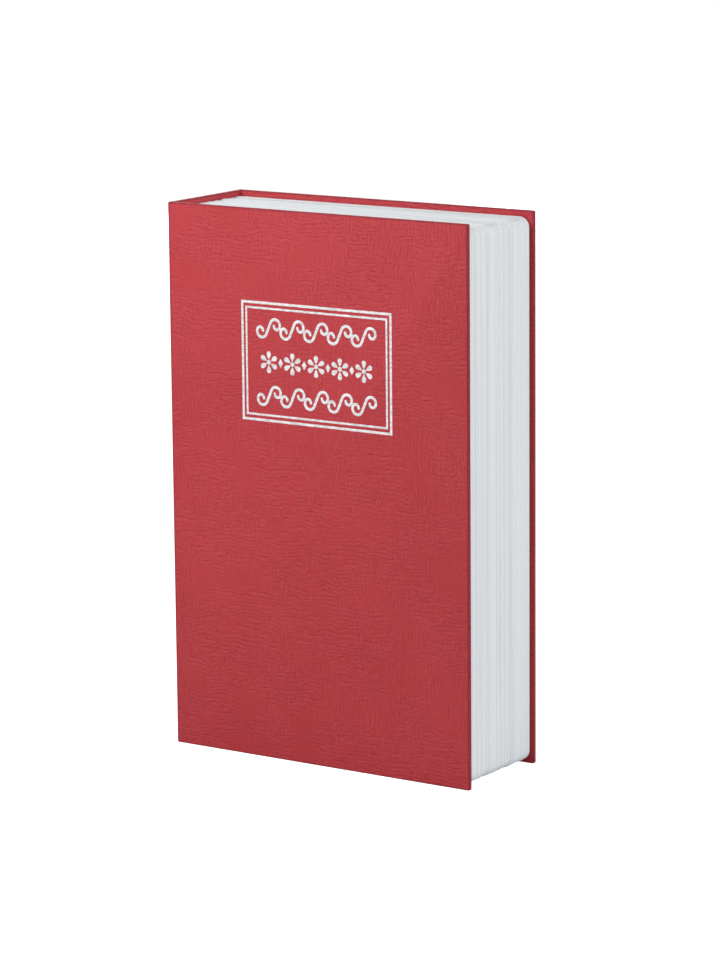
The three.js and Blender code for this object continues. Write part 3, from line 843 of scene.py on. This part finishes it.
def inner_paper(name, node, facing, body):
    """A sheet pasted over the turn-ins, whose edges show. facing is +1 where it looks to +Y."""
    low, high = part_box(node)
    sheet = box(name, low, high)
    free_y = high.y if facing > 0 else low.y
    for place, normal in (
        ((case_high.x - turn_in, 0, 0), (1, 0, 0)),
        ((0, 0, turn_in), (0, 0, -1)),
        ((0, 0, book_height - turn_in), (0, 0, 1)),
    ):
        for back in (0, paper_slope):
            pick(sheet, "FACE", lambda face: near(face.calc_center_median().y, free_y))
            split(Vector(place) - back * Vector(normal), normal)

    def sunk(face):
        place = face.calc_center_median()
        inside = place.x < case_high.x - turn_in and turn_in < place.z < book_height - turn_in
        broad = min(place.z - low.z, high.z - place.z) > turn_in
        return near(place.y, free_y) and inside and broad

    pick(sheet, "FACE", sunk)
    move(0, -facing * paper_sink, 0)
    close()
    smooth(sheet)
    wear(sheet, finishes["endpaper"], body)
    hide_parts(node)


inner_paper("front_endpaper", "front_cover_liner", 1, "front_cover")
inner_paper("back_endpaper", "back_cover_liner", -1, "case")


# Foil title panel: a double frame round three rows of plain ornament


foil_y = (front_low.y - foil_height, front_low.y + foil_height / 2)


def foil_frame(name, size, line):
    width, height = size
    low = (panel_middle_x - width / 2, foil_y[0], panel_middle_z - height / 2)
    high = (panel_middle_x + width / 2, foil_y[1], panel_middle_z + height / 2)
    frame_piece = box(name, low, high)
    pick(frame_piece, "FACE", lambda face: abs(face.normal.y) > STRAIGHT)
    bpy.ops.mesh.inset(thickness=line, use_even_offset=True)
    bpy.ops.mesh.bridge_edge_loops()
    close()
    return frame_piece


def foil_disc(radius, x, z, corners=small_steps, stretch=1.0):
    """A dot, or a lozenge where it has four corners."""
    disc = rod("foil_disc", radius, foil_y[1] - foil_y[0], (0, foil_y[0], 0), "Y", corners)
    disc.data.transform(Matrix.Scale(stretch, 4, (0, 0, 1)))
    carry(disc, x, 0, z)
    return disc


def petal(reach, width):
    """A drop shape: an oval that narrows towards the flower's heart."""
    leaf = foil_disc(width / 2, 0, reach / 2, stretch=reach / width)
    for share in petal_narrowing:
        pick(leaf, "VERT", lambda corner: corner.co.z < reach * share)
        bpy.ops.transform.resize(value=(petal_taper, 1, 1), center_override=(0, 0, 0))
        close()
    return leaf


def rosette(x):
    heart = foil_disc(rosette_radius * heart_share, 0, 0)
    leaves = []
    start = rosette_radius * petal_start_share
    first = petal(rosette_radius - start, rosette_radius * petal_width_share)
    carry(first, 0, 0, start)
    for number in range(rosette_petals):
        turn = Matrix.Rotation(2 * math.pi * number / rosette_petals, 4, "Y")
        leaves.append(turned_copy(first, "petal", turn))
    bpy.data.objects.remove(first)
    flower = join(heart, *leaves)
    carry(flower, x, 0, panel_middle_z)
    return flower


def curl(stem, way):
    """One end of a scroll: the stroke turns inwards through half circles of shrinking radius."""
    end = Vector((0, 0, way * stem_rise))
    side = way
    for radius in scroll_radii:
        here = end.copy()

        def tip(face):
            place = face.calc_center_median()
            on_end = near(place.z, here.z) and abs(place.x - here.x) < stroke / 4
            return on_end and abs(face.normal.z) > STRAIGHT

        pick(stem, "FACE", tip)
        centre = (here.x + side * radius, 0, here.z)
        bpy.ops.mesh.spin(steps=scroll_steps, angle=-math.pi, center=centre, axis=(0, 1, 0))
        end.x += 2 * side * radius
        side = -side
    bpy.ops.transform.resize(value=(stroke_taper, 1, 1), center_override=end)
    close()


def scroll(x, z):
    half = stroke / 2
    stem = box("scroll", (-half, foil_y[0], -stem_rise), (half, foil_y[1], stem_rise))
    curl(stem, 1)
    curl(stem, -1)
    stem.data.transform(Matrix.Rotation(scroll_lean, 4, "Y"))
    carry(stem, x, 0, z)
    return stem


def row_places(count):
    """Where the middles of a row's motifs lie on X."""
    pitch = row_width / count
    return [panel_middle_x + pitch * (number - (count - 1) / 2) for number in range(count)]


def title_panel():
    outer = foil_frame("foil_frames", outer_frame, outer_line)
    inner = foil_frame("inner_frame", inner_frame, inner_line)
    wear(join(outer, inner), finishes["silver_foil"], "front_cover")
    places = row_places(rosettes)
    parts = [rosette(places[0])]
    for last_x, x in zip(places, places[1:]):
        between = (last_x + x) / 2
        lozenge = foil_disc(lozenge_radius, between, panel_middle_z, 4, lozenge_stretch)
        parts += [rosette(x), lozenge]
    for z in (panel_middle_z - row_pitch, panel_middle_z + row_pitch):
        parts += [scroll(x, z) for x in row_places(scrolls)]
    ornament = join(*parts)
    ornament.name = ornament.data.name = "foil_ornament"
    pick(ornament, "VERT")
    bpy.ops.mesh.normals_make_consistent(inside=False)
    close()
    wear(ornament, finishes["silver_foil"], "front_cover")


title_panel()


# Page block


def page_frame():
    low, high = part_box("page_block")
    block = box("ribbed_pages", low, high)
    pick(block, "EDGE", lambda edge: along(edge, 1) and near(middle(edge).x, high.x))
    bevel(block_corner, block_corner_steps)
    pick(block, "EDGE", lambda edge: along(edge, 1))
    leaves = signatures * leaves_in_signature
    bpy.ops.mesh.subdivide(number_cuts=leaves * steps_in_leaf - 1)
    step = (high.y - low.y) / (leaves * steps_in_leaf)
    depths = leaf_depths(leaves)
    for depth in sorted(set(depths)):
        def at_depth(corner):
            level = round((corner.co.y - low.y) / step)
            return depths[level] == depth

        pick(block, "VERT", at_depth)
        bpy.ops.transform.shrink_fatten(value=depth)
    close()
    gather_backs(block, low, step)
    tray_low, tray_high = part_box("steel_tray")
    window = box(
        "window",
        (tray_low.x - window_gap, low.y - window_gap, tray_low.z - window_gap),
        (tray_high.x + window_gap, tray_high.y + NEAR, tray_high.z + window_gap),
    )
    pick(window, "EDGE", lambda edge: along(edge, 1))
    bevel(window_corner, corner_steps)
    close()
    combine(block, window)

    def window_rim(edge):
        place = middle(edge)
        in_window = tray_low.x - 2 * window_gap < place.x < tray_high.x + 2 * window_gap
        in_height = tray_low.z - 2 * window_gap < place.z < tray_high.z + 2 * window_gap
        return in_window and in_height and all(near(v.co.y, low.y) for v in edge.verts)

    pick(block, "EDGE", window_rim)
    bevel(window_edge, edge_steps)
    close()
    weld(block)
    smooth(block, soft_leaf_fold)
    wear(block, finishes["page_plastic"], "case")
    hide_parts("page_block")


def gather_backs(block, low, step):
    """Rounds the back of each signature, on the block's side that looks to the spine."""
    levels = leaves_in_signature * steps_in_leaf

    def from_middle(corner):
        level = round((corner.co.y - low.y) / step)
        return abs(level % levels - levels / 2)

    for distance in range(levels // 2 + 1):
        def at_distance(corner):
            return corner.co.x < low.x + 2 * back_depth and near(from_middle(corner), distance)

        share = 2 * distance / levels
        pick(block, "VERT", at_distance)
        depth = back_depth * (1 - math.sqrt(1 - share ** 2))
        move(depth, 0, 0)
    close()


def leaf_depths(leaves):
    """How far each level through the block is set in, for leaves, grooves and signatures."""
    dice = random.Random(leaf_seed)
    depths = []
    for leaf in range(leaves):
        signature = leaf // leaves_in_signature
        face = signature_step * signature_step_shares[signature]
        face += leaf_play * round(dice.random(), 1)
        opens = leaf % leaves_in_signature == 0
        groove = signature_groove if opens else leaf_groove * dice.choice(leaf_groove_shares)
        depths.append(0 if leaf == 0 else face + groove)
        depths.extend([face] * (steps_in_leaf - 1))
    depths.append(0)
    return [round(depth, 6) for depth in depths]


page_frame()


# Steel


def fixing(piece, node, finish, body):
    smooth(piece)
    wear(piece, finishes[finish], body)
    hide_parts(node)


def round_edges(piece, width, steps=edge_steps):
    fold = math.radians(eased_fold)
    modify(piece, "BEVEL", width=width, segments=steps, limit_method="ANGLE", angle_limit=fold)


def merged_copy(node, edge, body, finish):
    """A copy of a node with its triangles joined into whole faces and its edges eased."""
    piece = new_object("finished_" + node, nodes[node].data.copy())
    focus(piece)
    bpy.ops.mesh.customdata_custom_splitnormals_clear()
    pick(piece, "VERT")
    bpy.ops.mesh.remove_doubles(threshold=NEAR / 4)
    bpy.ops.mesh.dissolve_limited(angle_limit=math.radians(flat_fold))
    close()
    round_edges(piece, edge, sheet_edge_steps)
    smooth(piece, soft_sheet_fold)
    modify(piece, "WEIGHTED_NORMAL", keep_sharp=True)
    wear(piece, finishes[finish], body)
    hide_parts(node)


merged_copy("steel_tray", sheet_edge, "case", "black_steel")
merged_copy("door_panel", sheet_edge, "door", "black_steel")
merged_copy("lock_cam", sheet_edge, "lock", "zinc_steel")


# Piano hinge: each leaf's knuckles are rolled round the pin


pin_low, pin_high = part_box("hinge_pin")
pin_middle = (pin_low + pin_high) / 2
pin_radius = (pin_high.x - pin_low.x) / 2


def hinge_leaf(node, first, turn, body):
    """A leaf drawn with the pin on Z and its plate along +X, then turned to its place."""
    low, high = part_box(node)
    door_low, door_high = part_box("door_hinge_leaf")
    outer = pin_middle.x - door_low.x
    bore = outer - leaf_sheet
    width = door_high.x - pin_middle.x
    plate_x = outer + knuckle_reach
    leaf = box("finished_" + node, (plate_x, bore, low.z), (width, outer, high.z))
    length = (high.z - low.z - (knuckles - 1) * knuckle_gap) / knuckles
    spans = []
    for number in range(first, knuckles, 2):
        start = low.z + number * (length + knuckle_gap)
        spans.append((start, start + length))
    ends = {z for span in spans for z in span if low.z + NEAR < z < high.z - NEAR}
    for place in sorted(ends):
        pick(leaf, "FACE")
        split((0, 0, place), (0, 0, 1))

    def own(face, x):
        centre = face.calc_center_median()
        in_knuckle = any(a < centre.z < b for a, b in spans)
        return near(centre.x, x) and in_knuckle and abs(face.normal.x) > STRAIGHT

    pick(leaf, "FACE", lambda face: own(face, plate_x))
    bpy.ops.mesh.extrude_region_move(TRANSFORM_OT_translate={"value": (-plate_x, 0, 0)})
    pick(leaf, "FACE", lambda face: own(face, 0))
    bpy.ops.mesh.spin(steps=knuckle_steps, angle=-knuckle_roll, center=(0, 0, 0), axis=(0, 0, 1))
    close()
    weld(leaf, NEAR / 4)
    to_pin = Matrix.Translation((pin_middle.x, pin_middle.y, 0))
    leaf.data.transform(to_pin @ Matrix.Rotation(turn, 4, "Z"))
    fixing(leaf, node, "zinc_steel", body)


def hinge():
    hinge_leaf("door_hinge_leaf", 1, 0, "door")
    hinge_leaf("tray_hinge_leaf", 0, math.pi / 2, "case")
    foot = (pin_middle.x, pin_middle.y, pin_low.z)
    pin = rod("finished_hinge_pin", pin_radius, pin_high.z - pin_low.z, foot, "Z", small_steps)
    round_edges(pin, pin_radius / 3)
    fixing(pin, "hinge_pin", "zinc_steel", "case")


hinge()


# Rivets and screws


def rivet(node, axis, body):
    """A domed factory head, a shank, and a smaller head that is set at the far end."""
    low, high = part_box(node)
    centre = (low + high) / 2
    index = "XYZ".index(axis)
    radius = (high.z - low.z) / 2
    length = high[index] - low[index]
    start = centre.copy()
    start[index] = low[index]
    rise = rivet_head - rivet_rim
    factory_head = [(r, rise - h) for r, h in reversed(dome(radius, rise, dome_steps))]
    grip_end = length - set_head
    profile = factory_head + [(radius, rivet_head), (rivet_shank, rivet_head)]
    profile.append((rivet_shank, grip_end))
    set_radius = radius * set_head_share
    profile += [(set_radius, grip_end), (set_radius, grip_end + rivet_rim)]
    set_dome = dome(set_radius, set_head - rivet_rim, dome_steps)
    profile += [(r, grip_end + rivet_rim + h) for r, h in set_dome[1:]]
    piece = turned("finished_" + node, profile, start, axis, small_steps)
    fixing(piece, node, "zinc_steel", body)


for number in row_of_four:
    rivet(f"door_rivet_{number}", "Y", "door")
    rivet(f"tray_rivet_{number}", "X", "case")


def tray_screw(node):
    low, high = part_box(node)
    centre = (low + high) / 2
    radius = (high.x - low.x) / 2
    face = rounded(radius, screw_head, screw_head * screw_dome, edge_steps + 2)
    profile = [(r, screw_head - h) for r, h in reversed(face)]
    profile += [(radius, screw_head), (screw_shank, screw_head)]
    shank_end = high.y - low.y
    profile += [(screw_shank, shank_end - screw_shank), (0, shank_end)]
    screw = turned("finished_" + node, profile, (centre.x, low.y, centre.z), "Y", small_steps)
    reach = radius * screw_slot_reach
    top, bottom = low.y - reach, low.y + screw_slot_depth
    cross = bar("cross", centre, 2 * reach, screw_slot, top, bottom)
    upright = bar("upright", centre, screw_slot, 2 * reach, top, bottom)
    combine(cross, upright, "UNION")
    combine(screw, cross)
    fixing(screw, node, "zinc_steel", "case")


for number in row_of_four:
    tray_screw(f"tray_screw_{number}")


# Cam lock: a threaded barrel with two flats, its nut and washer, and what the key turns


body_low, body_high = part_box("lock_body")
plug_low, plug_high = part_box("lock_plug")
lock_middle = (body_low + body_high) / 2
lock_x, lock_z = lock_middle.x, lock_middle.z
door_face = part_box("door_panel")[0].y


def washer(node, bore, steps, body):
    """A flat ring between a node's two faces, with eased edges."""
    low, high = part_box(node)
    radius, depth = (high.x - low.x) / 2, high.y - low.y
    outside = rounded(radius, depth, fine_edge, edge_steps, to_axis=False)
    under = [(r, depth - h) for r, h in reversed(outside)]
    profile = [(bore, 0)] + under + outside + [(bore, depth), (bore, 0)]
    piece = turned("finished_" + node, profile, (lock_x, low.y, lock_z), "Y", steps)
    fixing(piece, node, "zinc_steel", body)


def barrel():
    flange = (body_high.x - body_low.x) / 2
    length = body_high.y - body_low.y
    head_bore = (plug_high.x - plug_low.x) / 2 + plug_gap
    bore = plug_shaft + plug_gap
    face = rounded(flange, flange_height, flange_edge, edge_steps + 3, to_axis=False)
    profile = [(head_bore, 0)] + [(r, flange_height - h) for r, h in reversed(face)]
    profile += [(flange, flange_height), (barrel_radius, flange_height)]
    turn = flange_height + thread_pitch / 2
    while turn + thread_pitch < length:
        profile += [(barrel_radius, turn), (barrel_radius - thread_depth, turn + thread_pitch / 2)]
        turn += thread_pitch
    profile += [(barrel_radius, turn), (barrel_radius - thread_depth, length)]
    profile += [(bore, length), (bore, plug_head + plug_gap), (head_bore, plug_head + plug_gap)]
    profile.append((head_bore, 0))
    piece = turned("finished_lock_body", profile, (lock_x, body_low.y, lock_z))
    for side in (-1, 1):
        reach = sorted((lock_x + side * barrel_flats / 2, lock_x + side * barrel_flats))
        flat = box(
            "flat",
            (reach[0], door_face - NEAR, lock_z - barrel_flats),
            (reach[1], body_high.y + barrel_flats, lock_z + barrel_flats),
        )
        combine(piece, flat)
    fixing(piece, "lock_body", "lock_chrome", "door")


def nut():
    low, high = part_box("lock_nut")
    radius, depth = (high.z - low.z) / 2, high.y - low.y
    piece = rod("finished_lock_nut", radius, depth, (lock_x, low.y, lock_z), "Y", steps=6)
    edge = nut_chamfer
    bore = barrel_radius + plug_gap
    profile = [(bore, 0), (radius - edge, 0), (radius, edge)]
    profile += [(radius, depth - edge), (radius - edge, depth), (bore, depth), (bore, 0)]
    chamfer = turned("chamfer", profile, (lock_x, low.y, lock_z))
    combine(piece, chamfer, "INTERSECT")
    fixing(piece, "lock_nut", "zinc_steel", "door")


def plug():
    radius = (plug_high.x - plug_low.x) / 2
    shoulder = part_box("lock_cam")[1].y - cam_sheet - plug_low.y - NEAR
    length = plug_high.y - plug_low.y
    head = plug_head - plug_gap
    face = rounded(radius, head, plug_edge, edge_steps)
    profile = [(r, head - h) for r, h in reversed(face)]
    profile += [(radius, head), (plug_shaft, head), (plug_shaft, shoulder), (0, shoulder)]
    piece = turned("finished_lock_plug", profile, (lock_x, plug_low.y, lock_z))
    root = plug_low.y + shoulder - plug_tail / 2
    tail = bar("tail", lock_middle, plug_tail, plug_tail, root, plug_low.y + length)
    combine(piece, tail, "UNION")
    width, depth, height = keyway
    slot = bar("keyway", lock_middle, width, height, plug_low.y - width, plug_low.y + depth)
    ward_width, ward_depth, ward_height = keyway_side
    half = ward_height / 2
    ward = box(
        "ward",
        (lock_x - width / 4, plug_low.y - width / 2, lock_z - half),
        (lock_x - width / 2 + ward_width, plug_low.y + ward_depth - plug_gap, lock_z + half),
    )
    combine(slot, ward, "UNION")
    combine(piece, slot)
    fixing(piece, "lock_plug", "lock_chrome", "lock")


def cam_screw():
    low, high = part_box("cam_screw")
    radius, length = (high.x - low.x) / 2, high.y - low.y
    under = length - cam_screw_head
    head = rounded(radius, cam_screw_head, cam_screw_head / 3, edge_steps + 2)
    profile = [(0, 0), (cam_screw_shank, cam_screw_shank), (cam_screw_shank, under)]
    profile += [(radius, under)] + [(r, under + h) for r, h in head]
    piece = turned("finished_cam_screw", profile, (lock_x, low.y, lock_z), "Y", small_steps)
    bottom = high.y - cam_screw_head / 2
    slot = bar("slot", lock_middle, screw_slot, 4 * radius, bottom, high.y + cam_screw_head)
    combine(piece, slot)
    fixing(piece, "cam_screw", "zinc_steel", "lock")


def lock():
    barrel()
    nut()
    plug()
    cam_screw()
    washer("lock_washer", barrel_radius + plug_gap, round_steps, "door")
    washer("cam_washer", cam_screw_shank + plug_gap, small_steps, "lock")


lock()


# Setting: a white floor and soft light


def background(tree, straight, mirrored, lighting):
    """A strength for rays straight to the eye, for those in a reflection or glass, and the rest."""
    rays = add(tree, "LightPath").outputs
    reflected = larger(tree, rays["Is Glossy Ray"], rays["Is Transmission Ray"])
    shown = times(tree, rays["Is Camera Ray"], straight)
    return larger(tree, larger(tree, shown, times(tree, reflected, mirrored)), lighting)


def floor_finish():
    finish = bpy.data.materials.new("floor")
    tree = empty_tree(finish)
    output = add(tree, "OutputMaterial")
    matt = add(tree, "BsdfDiffuse", {"Color": floor_grey})
    strength = background(tree, *floor_glow)
    glow = add(tree, "Emission", {"Color": white, "Strength": strength})
    both = add(tree, "AddShader", {0: matt.outputs[0], 1: glow.outputs[0]})
    tree.links.new(both.outputs[0], output.inputs["Surface"])
    return finish


def floor():
    ground = (0, 0, cad_box[0].z)
    piece = new_piece("floor", bpy.ops.mesh.primitive_plane_add, size=floor_side, location=ground)
    settle(piece)
    piece.data.materials.append(floor_finish())


def surroundings():
    world = bpy.data.worlds.new("studio")
    bpy.context.scene.world = world
    tree = empty_tree(world)
    output = add(tree, "OutputWorld")
    strength = background(tree, *surrounding_glow)
    light = add(tree, "Background", {"Color": white, "Strength": strength})
    tree.links.new(light.outputs[0], output.inputs["Surface"])


def lamp(name, target_height, place, size, watts):
    """A square lamp that looks at a height on the book's middle line."""
    light = bpy.data.lights.new(name, "AREA")
    light.shape = "SQUARE"
    light.size = size
    light.energy = watts
    stand = new_object(name, light)
    stand.location = place
    way = Vector((0, 0, target_height)) - Vector(place)
    stand.rotation_euler = way.to_track_quat("-Z", "Y").to_euler()


def camera():
    sine, cosine = math.sin(camera_azimuth), math.cos(camera_azimuth)
    rise, level = math.sin(camera_elevation), math.cos(camera_elevation)
    back = Vector((sine * level, -cosine * level, rise))
    right = Vector((cosine, sine, 0))
    up = back.cross(right)
    turn = Matrix.Rotation(camera_roll, 3, back)
    right, up = turn @ right, turn @ up
    target = Vector((0, 0, book_height / 2 + camera_raise)) + right * camera_aside
    lens = bpy.data.cameras.new("camera")
    lens.lens = camera_lens
    lens.sensor_width = camera_sensor
    eye = new_object("camera", lens)
    facing = Matrix((right, up, back)).transposed().to_4x4()
    eye.matrix_world = Matrix.Translation(target + back * camera_distance) @ facing
    bpy.context.scene.camera = eye


floor()
surroundings()
camera()
lamp("key", book_height, *key_lamp)
lamp("side", book_height / 2, *side_lamp)
lamp("fill", book_height / 2, *fill_lamp)
bpy.context.scene.view_settings.view_transform = "Standard"
